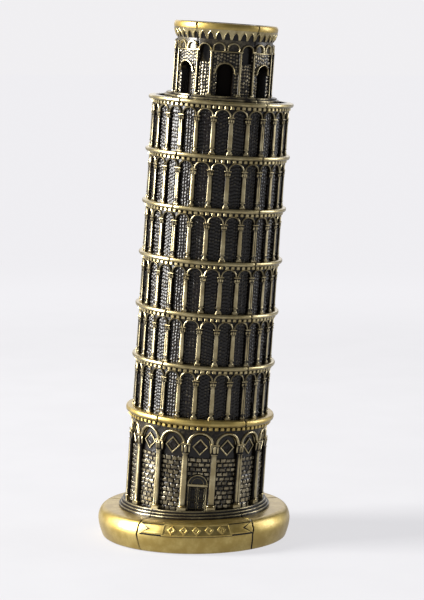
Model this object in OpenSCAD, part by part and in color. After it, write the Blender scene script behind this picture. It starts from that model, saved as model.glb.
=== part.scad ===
// Miniature leaning bell tower, a cast and patinated shelf ornament.
// Z is up. The origin is the centre of the round felt face that the plinth stands on.
// The door and the ribbon face -Y, and the tower leans towards +X.
// Heights named *_h are measured along the leaning axis of the tower.

/* [Plinth] */
// Largest diameter of the plinth
plinth_d = 75; // [74:0.5:80]
// Diameter of the face that the plinth stands on
plinth_foot_d = 71.6; // [68:0.2:73]
// Diameter of the flat top of the plinth
plinth_top_d = 68.8; // [66:0.2:70]
// Height of the top of the plinth above the ground
plinth_height = 12; // [11:0.5:14]
// Height at which the plinth is widest
plinth_belly_height = 7; // [6:0.5:8]
// Thickness of the felt under the plinth
felt_thickness = 1; // [0.8:0.1:1.5]

/* [Ribbon] */
// How far the ribbon stands proud of the plinth
ribbon_relief = 0.5; // [0.4:0.1:0.8]
// Angle that the middle panel of the ribbon spans
ribbon_panel_angle = 42; // [36:1:48]
// Angle that the whole ribbon spans
ribbon_angle = 72; // [66:1:80]

/* [Tower] */
// Lean of the tower, in degrees
lean = 3.85; // [2:0.05:5]
// Direction of the lean, in degrees from +X
lean_direction = -12; // [-20:1:20]
// Where the axis of the tower meets the ground, along X
tower_offset = -1; // [-2:0.5:1]
// Radius of the wall of the shaft
wall_r = 25; // [24.5:0.1:25.5]
// Wall thickness of the hollow shaft
shaft_thickness = 2; // [1.5:0.25:3]

/* [Ground storey] */
// Number of arches round the ground storey
ground_bays = 15; // [12:1:18]
// Height of the middle of the cornice over the ground storey
ground_cornice_h = 49.5; // [48:0.5:52]
// Thickness of that cornice
ground_cornice_t = 2.1; // [1.8:0.1:2.4]
// Radius of that cornice
ground_cornice_r = 28.85; // [28.2:0.05:29.5]
// Radius of the columns of the ground storey
ground_column_r = 1.25; // [1:0.05:1.4]

/* [Galleries] */
// Height of one gallery storey
gallery_height = 19.9; // [19:0.1:21]
// Extra height of the lowest gallery
first_gallery_extra = 0.65; // [0:0.05:1]
// Number of arches round each gallery
gallery_bays = 25; // [20:1:28]
// Thickness of the gallery cornices
gallery_cornice_t = 1.5; // [1.3:0.1:1.8]
// Radius of the gallery cornices
gallery_cornice_r = 27.8; // [27.4:0.05:28.2]
// Radius of the gallery columns
gallery_column_r = 0.95; // [0.8:0.05:1.1]

/* [Belfry] */
// Number of doorways round the belfry
belfry_bays = 7; // [6:1:8]
// Angle that one doorway bay spans between its columns
belfry_wide_angle = 34; // [32:1:36]
// Height of the belfry wall
belfry_wall_height = 20.8; // [20:0.1:22]
// Radius of the belfry wall
belfry_r = 18.2; // [17.8:0.1:18.5]
// Number of pointed arches in the corbel table
corbel_count = 38; // [30:1:42]
// Radius of the parapet ring
parapet_r = 20; // [19.6:0.1:20.4]

/* [Hidden] */
$fn = 96;
brass = [0.72, 0.60, 0.34];
dark_brass = [0.38, 0.32, 0.20];
patina = [0.16, 0.14, 0.12];
felt_black = [0.08, 0.08, 0.09];

gap = 0.05;            // clearance between a sleeve and the drum inside it
galleries = 6;
overlap = 0.2;         // how far joined shapes run into each other
far = 60;              // longer than any radius here, for cutters

// Plinth
collar_radii = [29.5, 28.8, 28.1];
collar_step = 1;
collar_top = plinth_height + collar_step * len(collar_radii);
pocket_depth = 3;      // the foot of the shaft stands this deep in the plinth
felt_r = plinth_foot_d / 2 - 2;
felt_recess = 0.6;     // the rest of the felt stands out under the plinth
plinth_underside = felt_thickness - felt_recess;

// Cornices, from the ground storey up
ground_slab_top = ground_cornice_h + ground_cornice_t / 2;
ground_dentil_h = 1.95;
gallery_dentil_h = 1.5;
dentils_per_ring = 75;
dentil_relief = 0.6;
function slab_top(n) =
    n == 0 ? ground_slab_top : ground_slab_top + first_gallery_extra + n * gallery_height;
function storey_foot(n) = slab_top(n - 1);
function storey_top(n) = slab_top(n) - gallery_cornice_t - gallery_dentil_h;
shaft_top = slab_top(galleries);

// Arcades
arcade_relief = 1.3;   // how far an arch band stands off the wall
arcade_foot_t = 0.6;   // ring that the column bases stand on

// Belfry
platform_t = 1.6;
belfry_foot = shaft_top + platform_t;
belfry_core_r = belfry_r - 2.75;
belfry_wall_top = belfry_foot + belfry_wall_height;
belfry_pitch = 360 / belfry_bays;
belfry_narrow_angle = belfry_pitch - belfry_wide_angle;
corbel_top = belfry_wall_top + 3.8;
parapet_tube = 1.2;
roof_t = 0.8;
roof_r = 17.1;

// ---------- helpers ----------

// Places children on the leaning axis, without turning them about it
module on_axis(h = 0) {
    translate([tower_offset, 0, 0])
        rotate([0, 0, lean_direction])
            rotate([0, lean, 0])
                rotate([0, 0, -lean_direction])
                    translate([0, 0, h])
                        children();
}

// Repeats children n times round the axis, the first one on -Y
module ring_of(n, start = 0) {
    for (i = [0 : n - 1])
        rotate([0, 0, start + i * 360 / n])
            children();
}

module annulus(inner, outer) {
    difference() {
        circle(r = outer);
        circle(r = inner);
    }
}

module tube(inner, outer, height) {
    linear_extrude(height)
        annulus(inner, outer);
}

// Turns an outline drawn in x and height into a prism that runs out along -Y
module radial_prism(from_r, to_r) {
    translate([0, -from_r, 0])
        rotate([90, 0, 0])
            linear_extrude(to_r - from_r)
                children();
}

// Round-headed opening: foot at 0, semicircle from the springing up
module arch_outline(width, springing) {
    translate([-width / 2, 0])
        square([width, springing]);
    translate([0, springing])
        circle(d = width, $fn = 32);
}

// Radial blocks round the axis, cut to the wall behind them
module block_ring(n, start, width, inner, outer, height) {
    linear_extrude(height)
        difference() {
            ring_of(n, start)
                translate([-width / 2, -outer])
                    square([width, outer - inner + 1]);
            circle(r = inner);
        }
}

// Half-round columns that stand against a drum
module column_ring(n, start, column_r, drum_r, centre_r, height) {
    linear_extrude(height)
        difference() {
            ring_of(n, start)
                translate([0, -centre_r])
                    circle(r = column_r, $fn = 24);
            circle(r = drum_r);
        }
}

// Keeps only what lies above a level height
module above(z) {
    intersection() {
        children();
        translate([-far, -far, z])
            cube([2 * far, 2 * far, 4 * far]);
    }
}

// ---------- plinth ----------

// Radius of the side of the plinth at a height below its belly
function side_r(z) = plinth_d / 2 - (plinth_d - plinth_foot_d) / 2
    * pow((plinth_belly_height - z) / (plinth_belly_height - plinth_underside), 1.6);

// Quarter of an ellipse from the belly to the flat top
shoulder_in = (plinth_d - plinth_top_d) / 2;
shoulder_up = plinth_height - plinth_belly_height;
function shoulder(a, grow = 0) = [
    plinth_d / 2 - shoulder_in + (shoulder_in + grow) * cos(a),
    plinth_belly_height + (shoulder_up + grow) * sin(a)
];

module plinth() {
    side_steps = 6;
    side = [for (i = [0 : side_steps])
        let (z = plinth_underside + (plinth_belly_height - plinth_underside) * i / side_steps)
        [side_r(z), z]];
    top = [for (a = [15 : 15 : 90]) shoulder(a)];
    color(brass)
        difference() {
            rotate_extrude()
                polygon(concat([[0, plinth_underside]], side, top, [[0, plinth_height]]));
            cylinder(r = felt_r, h = felt_thickness);
            above(plinth_height - pocket_depth)
                on_axis()
                    cylinder(r = wall_r + gap, h = far);
        }
}

module felt_pad() {
    color(felt_black)
        cylinder(r = felt_r - gap, h = felt_thickness);
}

// One stretch of ribbon that follows the shoulder of the plinth
module ribbon_strip(angle, low, high, relief) {
    rows = [for (i = [0 : 4]) low + (high - low) * i / 4];
    rotate([0, 0, -90 - angle / 2])
        rotate_extrude(angle = angle)
            polygon(concat(
                [for (a = rows) shoulder(a, gap)],
                [for (i = [4 : -1 : 0]) shoulder(rows[i], relief)]
            ));
}

module ribbon_banner() {
    color(brass)
        union() {
            ribbon_strip(ribbon_angle, 8, 56, ribbon_relief * 0.6);
            ribbon_strip(ribbon_panel_angle, 0, 62, ribbon_relief);
        }
}

module plinth_collar() {
    color(dark_brass)
        difference() {
            union()
                for (i = [0 : len(collar_radii) - 1])
                    translate([0, 0, plinth_height])
                        cylinder(r = collar_radii[i], h = collar_step * (i + 1));
            on_axis()
                cylinder(r = wall_r + gap, h = far);
        }
}

// ---------- shaft and ground storey ----------

module tower_shaft() {
    color(patina)
        difference() {
            above(plinth_height - pocket_depth)
                on_axis()
                    cylinder(r = wall_r, h = shaft_top);
            on_axis(plinth_height + shaft_thickness)
                cylinder(r = wall_r - shaft_thickness,
                         h = shaft_top - plinth_height - 2 * shaft_thickness);
        }
}

ground_column_ring = wall_r + 0.65;
ground_base_top = 18.6;
ground_capital_h = 37.2;
ground_springing = 41.1;
ground_arcade_top = slab_top(0) - ground_cornice_t - ground_dentil_h;
ground_bay = 360 / ground_bays;
ground_arch_w = 8.4;

module ground_arcade() {
    inner = wall_r + gap;
    block_r = inner + 2;
    color(brass)
        above(collar_top)
            on_axis()
                union() {
                    // column bases, cut level by the collar
                    block_ring(ground_bays, ground_bay / 2, 3.6, inner, block_r, ground_base_top);
                    tube(inner, inner + 0.4, ground_base_top - 1);
                    column_ring(ground_bays, ground_bay / 2, ground_column_r, inner,
                                ground_column_ring, ground_arcade_top);
                    translate([0, 0, ground_capital_h])
                        block_ring(ground_bays, ground_bay / 2, 3.2, inner, inner + 1.8,
                                   ground_springing - ground_capital_h);
                    translate([0, 0, ground_springing - 0.6])
                        difference() {
                            tube(inner, inner + arcade_relief,
                                 ground_arcade_top - ground_springing + 0.6);
                            ring_of(ground_bays)
                                translate([0, 0, -overlap])
                                    radial_prism(wall_r - 2, wall_r + 4)
                                        arch_outline(ground_arch_w, 0.6 + overlap);
                        }
                }
}

// Arched doorway with its lintel and two leaves
door_foot = 15.4;
door_w = 6.6;
door_springing = 25;

module door() {
    relief = wall_r + gap + 0.6;
    color(dark_brass)
        above(collar_top)
            on_axis(door_foot)
                intersection() {
                    tube(wall_r + gap, relief, 24);
                    radial_prism(wall_r - 4, wall_r + 4)
                        difference() {
                            translate([0, -3])
                                arch_outline(door_w + 2.4, door_springing - door_foot + 3.6);
                            translate([-door_w / 2, door_springing - door_foot - 0.6])
                                square([door_w, 0.6]);
                            for (side = [-1, 1])
                                translate([side * door_w / 4 - 1.1, 1])
                                    square([2.2, 6.5]);
                        }
                }
}

// Slab with a half-round nose over a toothed dentil course
module cornice(top, thickness, nose_r, dentil_h) {
    inner = wall_r + gap;
    tooth_r = nose_r - 1;
    root_r = tooth_r - dentil_relief;
    tooth = 360 / dentils_per_ring;
    color(brass)
        on_axis(top - thickness)
            union() {
                rotate_extrude()
                    union() {
                        translate([inner, 0])
                            square([nose_r - thickness / 2 - inner, thickness]);
                        translate([nose_r - thickness / 2, thickness / 2])
                            circle(d = thickness, $fn = 32);
                    }
                translate([0, 0, -dentil_h])
                    linear_extrude(dentil_h + overlap)
                        difference() {
                            polygon([
                                for (i = [0 : dentils_per_ring - 1], s = [0 : 3])
                                    let (a = (i + [0, 0.5, 0.5, 1][s]) * tooth,
                                         r = s < 2 ? tooth_r : root_r)
                                    [r * sin(a), r * cos(a)]
                            ]);
                            circle(r = inner);
                        }
            }
}

module ground_cornice() {
    cornice(slab_top(0), ground_cornice_t, ground_cornice_r, ground_dentil_h);
}

// ---------- galleries ----------

gallery_bay = 360 / gallery_bays;
gallery_column_ring = wall_r + 0.7;
gallery_base_h = 2.6;
gallery_capital_h = 1.9;
gallery_arch_w = 4.7;

module gallery_arcade(n) {
    inner = wall_r + gap;
    height = storey_top(n) - storey_foot(n);
    springing = height - gallery_arch_w / 2 - 0.4;
    start = gallery_bay / 2;
    color(brass)
        on_axis(storey_foot(n))
            union() {
                tube(inner, inner + arcade_relief, arcade_foot_t);
                block_ring(gallery_bays, start, 2.6, inner, inner + 1.7, gallery_base_h);
                column_ring(gallery_bays, start, gallery_column_r, inner,
                            gallery_column_ring, height);
                translate([0, 0, springing - gallery_capital_h])
                    block_ring(gallery_bays, start, 2.3, inner, inner + 1.5, gallery_capital_h);
                translate([0, 0, springing - 0.3])
                    difference() {
                        tube(inner, inner + arcade_relief, height - springing + 0.3);
                        ring_of(gallery_bays)
                            translate([0, 0, -overlap])
                                radial_prism(wall_r - 2, wall_r + 4)
                                    arch_outline(gallery_arch_w, 0.3 + overlap);
                    }
            }
}

module gallery_cornice(n) {
    cornice(slab_top(n), gallery_cornice_t, gallery_cornice_r, gallery_dentil_h);
}

// ---------- belfry ----------

doorway_w = 6.2;
doorway_springing = 8.8;
niche_w = 3.9;
niche_foot = 12.3;
niche_springing = 16.9;
niche_depth = 1.4;

module belfry_platform() {
    color(dark_brass)
        on_axis(shaft_top)
            union() {
                cylinder(r = 22.1, h = platform_t / 2);
                cylinder(r = 21.2, h = platform_t);
            }
}

// Closed drum behind the doorways
module belfry_core() {
    height = corbel_top - roof_t - belfry_foot;
    color(patina)
        on_axis(belfry_foot)
            difference() {
                cylinder(r = belfry_core_r, h = height);
                translate([0, 0, shaft_thickness])
                    cylinder(r = belfry_core_r - shaft_thickness,
                             h = height - 2 * shaft_thickness);
            }
}

module belfry_wall() {
    color(patina)
        on_axis(belfry_foot)
            difference() {
                tube(belfry_core_r + gap, belfry_r, belfry_wall_height);
                // doorways run right through, as far as the core
                ring_of(belfry_bays)
                    translate([0, 0, 1])
                        radial_prism(belfry_core_r - 2, belfry_r + 2)
                            arch_outline(doorway_w, doorway_springing - 1);
                // niches are shallow
                ring_of(belfry_bays, belfry_pitch / 2)
                    translate([0, 0, niche_foot])
                        radial_prism(belfry_r - niche_depth, belfry_r + 2)
                            arch_outline(niche_w, niche_springing - niche_foot);
            }
}

// Columns between the bays, string courses and the arches over them
module belfry_arcade() {
    inner = belfry_r + gap;
    string_h = 16.4;
    color(brass)
        on_axis(belfry_foot)
            union() {
                tube(inner, inner + 0.8, 0.8);
                for (side = [-1, 1])
                    column_ring(belfry_bays, side * belfry_wide_angle / 2, 0.75, inner,
                                inner + 0.3, belfry_wall_height);
                intersection() {
                    tube(inner, inner + 0.6, belfry_wall_height);
                    union() {
                        ring_of(belfry_bays)
                            belfry_front_relief(string_h);
                        ring_of(belfry_bays, belfry_pitch / 2)
                            translate([0, 0, niche_springing])
                                radial_prism(belfry_r - 2, belfry_r + 3)
                                    arch_bar(niche_w, 0.6);
                        tube(inner, inner + 0.6, 0.8);
                    }
                }
                translate([0, 0, belfry_wall_height - 0.8])
                    tube(inner, inner + 0.4, 0.8);
            }
}

// Half ring over an opening
module arch_bar(width, bar) {
    difference() {
        circle(d = width + 2 * bar, $fn = 32);
        circle(d = width, $fn = 32);
        translate([-width, -2 * width])
            square([2 * width, 2 * width]);
    }
}

// Hood over the doorway with its imposts, string course and the two blind arches on it
module belfry_front_relief(string_h) {
    bay_w = 2 * belfry_r * sin(belfry_wide_angle / 2);
    impost_w = (bay_w - doorway_w) / 2;
    translate([0, 0, doorway_springing])
        radial_prism(belfry_r - 4, belfry_r + 3) {
            arch_bar(doorway_w, 0.7);
            for (side = [-1, 1])
                translate([side * (doorway_w + impost_w) / 2 - impost_w / 2, -0.4])
                    square([impost_w, 0.5]);
        }
    translate([0, 0, string_h])
        radial_prism(belfry_r - 4, belfry_r + 3)
            translate([-bay_w / 2, 0])
                square([bay_w, 0.7]);
    translate([0, 0, string_h + 0.7])
        radial_prism(belfry_r - 4, belfry_r + 3)
            for (side = [-1, 1])
                translate([side * bay_w / 4, 0])
                    arch_bar(bay_w / 2 - 1.6, 0.6);
}

module corbel_table() {
    height = corbel_top - belfry_wall_top;
    inner = belfry_core_r + gap;
    rebate_r = roof_r + gap;
    color(brass)
        on_axis(belfry_wall_top)
            difference() {
                rotate_extrude()
                    polygon([
                        [inner, 0], [belfry_r + 0.4, 0], [belfry_r + 1.6, height - 0.5],
                        [belfry_r + 1.6, height], [rebate_r, height],
                        [rebate_r, height - roof_t], [inner, height - roof_t]
                    ]);
                ring_of(corbel_count)
                    translate([0, 0, -overlap])
                        radial_prism(belfry_r + 0.1, belfry_r + 3)
                            polygon([[-1.1, 0], [1.1, 0], [0.9, 1.5], [0, 2.9], [-0.9, 1.5]]);
            }
}

module parapet_ring() {
    centre_r = parapet_r - parapet_tube;
    color(brass)
        on_axis(corbel_top)
            rotate_extrude()
                union() {
                    translate([roof_r + 2 * gap, 0])
                        square([centre_r - roof_r - 2 * gap, 2 * parapet_tube]);
                    translate([centre_r, parapet_tube])
                        circle(r = parapet_tube, $fn = 40);
                }
}

module roof_disc() {
    color(patina)
        on_axis(corbel_top - roof_t)
            cylinder(r = roof_r, h = roof_t);
}

felt_pad();
plinth();
ribbon_banner();
plinth_collar();
tower_shaft();
ground_arcade();
door();
ground_cornice();
gallery_arcade(1);  // gallery_1_arcade
gallery_cornice(1);  // gallery_1_cornice
gallery_arcade(2);  // gallery_2_arcade
gallery_cornice(2);  // gallery_2_cornice
gallery_arcade(3);  // gallery_3_arcade
gallery_cornice(3);  // gallery_3_cornice
gallery_arcade(4);  // gallery_4_arcade
gallery_cornice(4);  // gallery_4_cornice
gallery_arcade(5);  // gallery_5_arcade
gallery_cornice(5);  // gallery_5_cornice
gallery_arcade(6);  // gallery_6_arcade
gallery_cornice(6);  // gallery_6_cornice
belfry_platform();
belfry_core();
belfry_wall();
belfry_arcade();
corbel_table();
parapet_ring();
roof_disc();
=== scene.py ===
"""Looks for a miniature leaning bell tower in antique brass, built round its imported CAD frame.

Each visible CAD node is replaced by a finer mesh of the same size. Meshes are made in the tower's own
measures, in millimetres: an angle round the axis, a height along the axis and a radius from it.
"""
import math
import bmesh
import bpy
import numpy as np
from mathutils import Matrix, Vector


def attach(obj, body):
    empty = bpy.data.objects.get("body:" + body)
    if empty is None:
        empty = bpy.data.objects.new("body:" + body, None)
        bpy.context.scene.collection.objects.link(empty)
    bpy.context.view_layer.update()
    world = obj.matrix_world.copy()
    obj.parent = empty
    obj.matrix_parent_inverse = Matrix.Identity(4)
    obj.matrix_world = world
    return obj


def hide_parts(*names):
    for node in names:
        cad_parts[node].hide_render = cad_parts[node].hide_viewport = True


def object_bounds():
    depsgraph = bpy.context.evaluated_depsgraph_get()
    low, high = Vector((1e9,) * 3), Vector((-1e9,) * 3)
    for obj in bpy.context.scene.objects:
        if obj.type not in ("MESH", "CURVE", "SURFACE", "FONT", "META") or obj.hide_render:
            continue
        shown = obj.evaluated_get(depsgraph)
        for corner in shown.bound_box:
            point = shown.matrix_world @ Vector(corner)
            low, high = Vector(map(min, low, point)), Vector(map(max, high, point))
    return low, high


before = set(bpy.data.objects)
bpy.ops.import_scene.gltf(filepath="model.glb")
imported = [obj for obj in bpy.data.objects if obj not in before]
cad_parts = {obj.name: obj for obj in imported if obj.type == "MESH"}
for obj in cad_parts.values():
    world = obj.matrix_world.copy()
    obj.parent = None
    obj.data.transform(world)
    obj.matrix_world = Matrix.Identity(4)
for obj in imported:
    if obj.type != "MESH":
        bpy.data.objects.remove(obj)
cad_low, cad_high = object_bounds()

MM = 0.001
TAU = 2 * math.pi

# ---- sizes, as in the CAD model

LEAN = math.radians(3.85)
LEAN_DIRECTION = math.radians(-12)
TOWER_OFFSET = -1.0
WALL_R = 25.0
WALL_T = 2.0

PLINTH_BELLY_R = 37.5
PLINTH_FOOT_R = 35.8
PLINTH_TOP_R = 34.4
PLINTH_TOP = 12.0
PLINTH_BELLY = 7.0
PLINTH_UNDERSIDE = 0.4
COLLAR_RADII = (29.5, 28.8, 28.1)
COLLAR_TOP = 15.0

GROUND_SLAB_TOP = 50.55
GROUND_SLAB_T = 2.1
GROUND_DENTIL_H = 1.95
GROUND_NOSE_R = 28.85
GALLERY_PITCH = 19.9
FIRST_EXTRA = 0.65
GALLERY_SLAB_T = 1.5
GALLERY_DENTIL_H = 1.5
GALLERY_NOSE_R = 27.8
GALLERIES = 6
DENTILS = 75

PLATFORM_T = 1.6
BELFRY_R = 18.2
BELFRY_WALL_H = 20.8
BELFRY_BAYS = 7
BELFRY_WIDE = math.radians(34)
CORBELS = 38
CORBEL_H = 3.8
PARAPET_R = 20.0
PARAPET_TUBE = 1.2
ROOF_R = 17.1
ROOF_T = 0.8

SEAMS = [math.radians(a) for a in (-36, 36, 108, 180, -108)]
SEAM_WIDTH = 0.38


def slab_top(n):
    """Height of the walkway over storey n, where storey 0 is the ground storey."""
    return GROUND_SLAB_TOP if n == 0 else GROUND_SLAB_TOP + FIRST_EXTRA + n * GALLERY_PITCH


def storey_clear(n):
    """Clear height of gallery n, from its walkway to the dentils of the cornice over it."""
    return slab_top(n) - GALLERY_SLAB_T - GALLERY_DENTIL_H - slab_top(n - 1)


SHAFT_TOP = slab_top(GALLERIES)
BELFRY_FOOT = SHAFT_TOP + PLATFORM_T
BELFRY_TOP = BELFRY_FOOT + BELFRY_WALL_H
PARAPET_FOOT = BELFRY_TOP + CORBEL_H

# ---- seeded noise


def hashed(cells, seed):
    """Repeatable random numbers from 0 to 1, one for each row of whole numbers."""
    mask = np.uint64(0xFFFFFFFF)
    n = np.full(len(cells), (seed * 2654435761 + 97) & 0xFFFFFFFF, np.uint64)
    for column in np.asarray(cells).T:
        n = ((n ^ (column.astype(np.int64).astype(np.uint64) & mask)) * np.uint64(0x9E3779B1)) & mask
        n ^= n >> np.uint64(15)
    n = (n * np.uint64(0x85EBCA6B)) & mask
    n ^= n >> np.uint64(13)
    return n / 4294967295.0


def noise(points, size, seed):
    """Smooth noise from -1 to 1 at points, with bumps about size across."""
    p = np.asarray(points) / size
    cell = np.floor(p).astype(np.int64)
    t = p - cell
    t = t * t * (3 - 2 * t)
    total = np.zeros(len(p))
    for corner in np.ndindex(2, 2, 2):
        weight = np.prod(np.where(corner, t, 1 - t), axis=1)
        total += weight * hashed(cell + np.array(corner), seed)
    return total * 2 - 1


def layered_noise(points, size, seed, layers=3):
    return sum(noise(points, size / 2**k, seed + k) / 2**k for k in range(layers)) / 1.75


def smooth(low, high, x):
    """Eases from 0 at low to 1 at high."""
    t = np.clip((x - low) / (high - low), 0, 1)
    return t * t * (3 - 2 * t)


# ---- from tower measures to the frame

TILT = (
    Matrix.Translation((TOWER_OFFSET * MM, 0, 0))
    @ Matrix.Rotation(LEAN_DIRECTION, 4, "Z")
    @ Matrix.Rotation(LEAN, 4, "Y")
    @ Matrix.Rotation(-LEAN_DIRECTION, 4, "Z")
)


def full_turn(count):
    return np.linspace(0, TAU, count, endpoint=False)


def upright(polar):
    """Angle, height and radius in millimetres to x, y and z in millimetres. Angle 0 is -Y."""
    a, h, r = np.asarray(polar, float).T
    return np.column_stack([r * np.sin(a), -r * np.cos(a), h])


def seam_nearness(a, width, radius):
    """1 on a mould seam, falling to 0 at width millimetres to either side of it."""
    near = np.zeros(np.shape(a))
    for seam in SEAMS:
        away = np.abs((a - seam + math.pi) % TAU - math.pi) * radius
        near = np.maximum(near, 1 - smooth(0, width, away))
    return near


def seam_side(a):
    """Which of the five shells an angle lies on, as a number from 0 to 1 for each shell."""
    shell = np.floor((np.asarray(a) - SEAMS[0]) / (TAU / len(SEAMS))).astype(np.int64) % len(SEAMS)
    return hashed(shell.reshape(-1, 1), 5).reshape(np.shape(a))


class Casting:
    """Closed shapes gathered into one mesh, in tower measures: angle, height and radius."""

    def __init__(self, shape=None, rub=0.0):
        self.points, self.rub, self.faces, self.count = [], [], [], 0
        if shape is not None:
            self.add(shape, rub)

    def add(self, shape, rub):
        """rub is wear from 0 to 1, with painted shade folded in on some pieces: one number, one for each
        point, or the two radii it rises between.
        """
        points, faces = shape
        self.points.append(np.asarray(points, float))
        r = self.points[-1][:, 2]
        if isinstance(rub, tuple):
            rub = smooth(rub[0], rub[1], r)
        self.rub.append(np.broadcast_to(rub, r.shape))
        self.faces += [tuple(i + self.count for i in face) for face in faces]
        self.count += len(points)

    def place(self, worn_shapes, angle, radius, foot=0.0):
        """Adds local shapes that carry their own wear, wrapped round the axis at angle."""
        for shape, rub in worn_shapes:
            self.add(bend(shape, angle, radius, foot), rub)

    def build(self, name, material, leaning=True, replaces=(), welded=False, crease=40, parting=0.2):
        """Makes the object, riding on the root body, with its wear in the attribute rub, which on some pieces
        also holds painted shade.

        A leaning piece gets the mould's parting lines, as grooves of the depth parting.
        """
        polar, rub = np.vstack(self.points), np.concatenate(self.rub)
        if leaning:
            wander = 0.008 * noise(np.column_stack([polar[:, 1], polar[:, 1] * 0, polar[:, 1] * 0]), 1.8, 7)
            parted = seam_nearness(polar[:, 0] + wander, 0.42, polar[:, 2])
            polar[:, 2] -= parting * parted
            rub = rub * (1 - 0.9 * parted)
        xyz = upright(polar)
        mesh = bpy.data.meshes.new(name)
        mesh.from_pydata((xyz * MM).tolist(), [], self.faces)
        if leaning:
            mesh.transform(TILT)
        wear = mesh.attributes.new("rub", "FLOAT", "POINT")
        wear.data.foreach_set("value", rub.astype(np.float32))
        work = bmesh.new()
        work.from_mesh(mesh)
        if welded:
            bmesh.ops.remove_doubles(work, verts=work.verts, dist=1e-6)
        bmesh.ops.recalc_face_normals(work, faces=work.faces)
        work.to_mesh(mesh)
        work.free()
        mesh.shade_smooth()
        mesh.set_sharp_from_angle(angle=math.radians(crease))
        mesh.materials.append(material)
        piece = bpy.data.objects.new(name, mesh)
        bpy.context.scene.collection.objects.link(piece)
        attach(piece, "root")
        if replaces:
            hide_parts(*replaces)
        return piece


# ---- closed shapes
# A local shape is drawn in s, h and d: along the wall, up it, and out from it. bend() wraps it round.


def bend(shape, angle, radius, foot=0.0):
    points, faces = shape
    p = np.asarray(points, float)
    return np.column_stack([angle + p[:, 0] / radius, foot + p[:, 1], radius + p[:, 2]]), faces


def loft(rings, ends=True, loop=False):
    """Skins closed rings of equal length. loop joins the last ring to the first."""
    rings = np.asarray(rings, float)
    count, size = rings.shape[:2]
    faces = []
    for i in range(count if loop else count - 1):
        here, there = i * size, (i + 1) % count * size
        for j in range(size):
            k = (j + 1) % size
            faces.append((here + j, here + k, there + k, there + j))
    if ends and not loop:
        faces.append(tuple(range(size))[::-1])
        faces.append(tuple(range((count - 1) * size, count * size)))
    return rings.reshape(-1, 3), faces


def turned(profile, d, sides=20, fullness=1.0):
    """A small turned shape standing at depth d, from (radius, height) pairs. Low fullness flattens it."""
    t = full_turn(sides)
    across = np.sign(np.sin(t)) * np.abs(np.sin(t)) ** (0.5 + 0.5 * fullness)
    outward = fullness * np.sign(np.cos(t)) * np.abs(np.cos(t)) ** (0.3 + 0.7 * fullness)
    rings = [np.column_stack([r * across, np.full(sides, h), d + r * outward]) for r, h in profile]
    return loft(rings)


def block(s, h, d, chamfer):
    """A block between the pairs s, h and d, with its outer edges chamfered."""
    (s0, s1), (h0, h1), (d0, d1) = s, h, d

    def ring(depth, inset):
        return [
            (s0 + inset, h0 + inset, depth), (s1 - inset, h0 + inset, depth),
            (s1 - inset, h1 - inset, depth), (s0 + inset, h1 - inset, depth),
        ]

    return loft([ring(d0, 0), ring(d1 - chamfer, 0), ring(d1, chamfer)])


def swept(path, profile, closed=False):
    """Sweeps a closed profile of (across, out) pairs along a path of (s, h) points, with mitred corners."""
    path, profile = np.asarray(path, float), np.asarray(profile, float)
    count = len(path)
    rings = []
    for i in range(count):
        before = path[i] - path[i - 1] if closed or i else path[1] - path[0]
        after = path[(i + 1) % count] - path[i] if closed or i < count - 1 else path[-1] - path[-2]
        before, after = before / np.linalg.norm(before), after / np.linalg.norm(after)
        along = before + after
        along /= np.linalg.norm(along)
        across = np.array([-along[1], along[0]]) / max(0.3, float(along @ after))
        base = path[i] + profile[:, :1] * across
        rings.append(np.column_stack([base, profile[:, 1]]))
    return loft(rings, loop=closed)


def arc(radius, centre=(0.0, 0.0), start=math.pi, end=0.0, steps=16):
    """Points on an arc, from the left springing over the top to the right one."""
    t = np.linspace(start, end, steps + 1)
    return np.column_stack([centre[0] + radius * np.cos(t), centre[1] + radius * np.sin(t)])


def roll(width, low, high, sides=5):
    """Half-round moulding profile: width across, standing from low to high."""
    t = np.linspace(0, math.pi, sides + 1)
    hump = np.column_stack([-width / 2 * np.cos(t), low + (high - low) * np.sin(t)])
    return np.vstack([hump, [[width / 2, low - 0.5], [-width / 2, low - 0.5]]])


def round_steps(count, fine_width, radius, fine=7):
    """Angles round the axis, evenly spaced and closer together at the mould seams."""
    even = np.linspace(-math.pi, math.pi, count, endpoint=False)
    extra = [seam + np.linspace(-1, 1, fine) * fine_width / radius for seam in SEAMS]
    all_angles = np.concatenate([even, *extra])
    return np.unique(np.round((all_angles + math.pi) % TAU - math.pi, 5))


def ring_solid(profile, angles, shift=None):
    """Sweeps a closed profile of (radius, height) pairs round the axis. shift moves radii by angle."""
    profile = np.asarray(profile, float)
    rings = []
    for a in angles:
        radius = profile[:, 0] if shift is None else shift(a, profile)
        rings.append(np.column_stack([np.full(len(profile), a), profile[:, 1], radius]))
    return loft(rings, loop=True)


def pointed_swing(radius, point, t):
    """Reach of an arch from the middle of its springing at angle t. point is 0 for a round arch."""
    shift = point * radius
    return np.sqrt((shift * np.cos(t)) ** 2 + radius**2 + 2 * radius * shift) - shift * np.abs(np.cos(t))


def pointed_arc(radius, point, steps=12):
    t = np.linspace(math.pi, 0, steps + 1)
    reach = pointed_swing(radius, point, t)
    return np.column_stack([reach * np.cos(t), reach * np.sin(t)])


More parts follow.
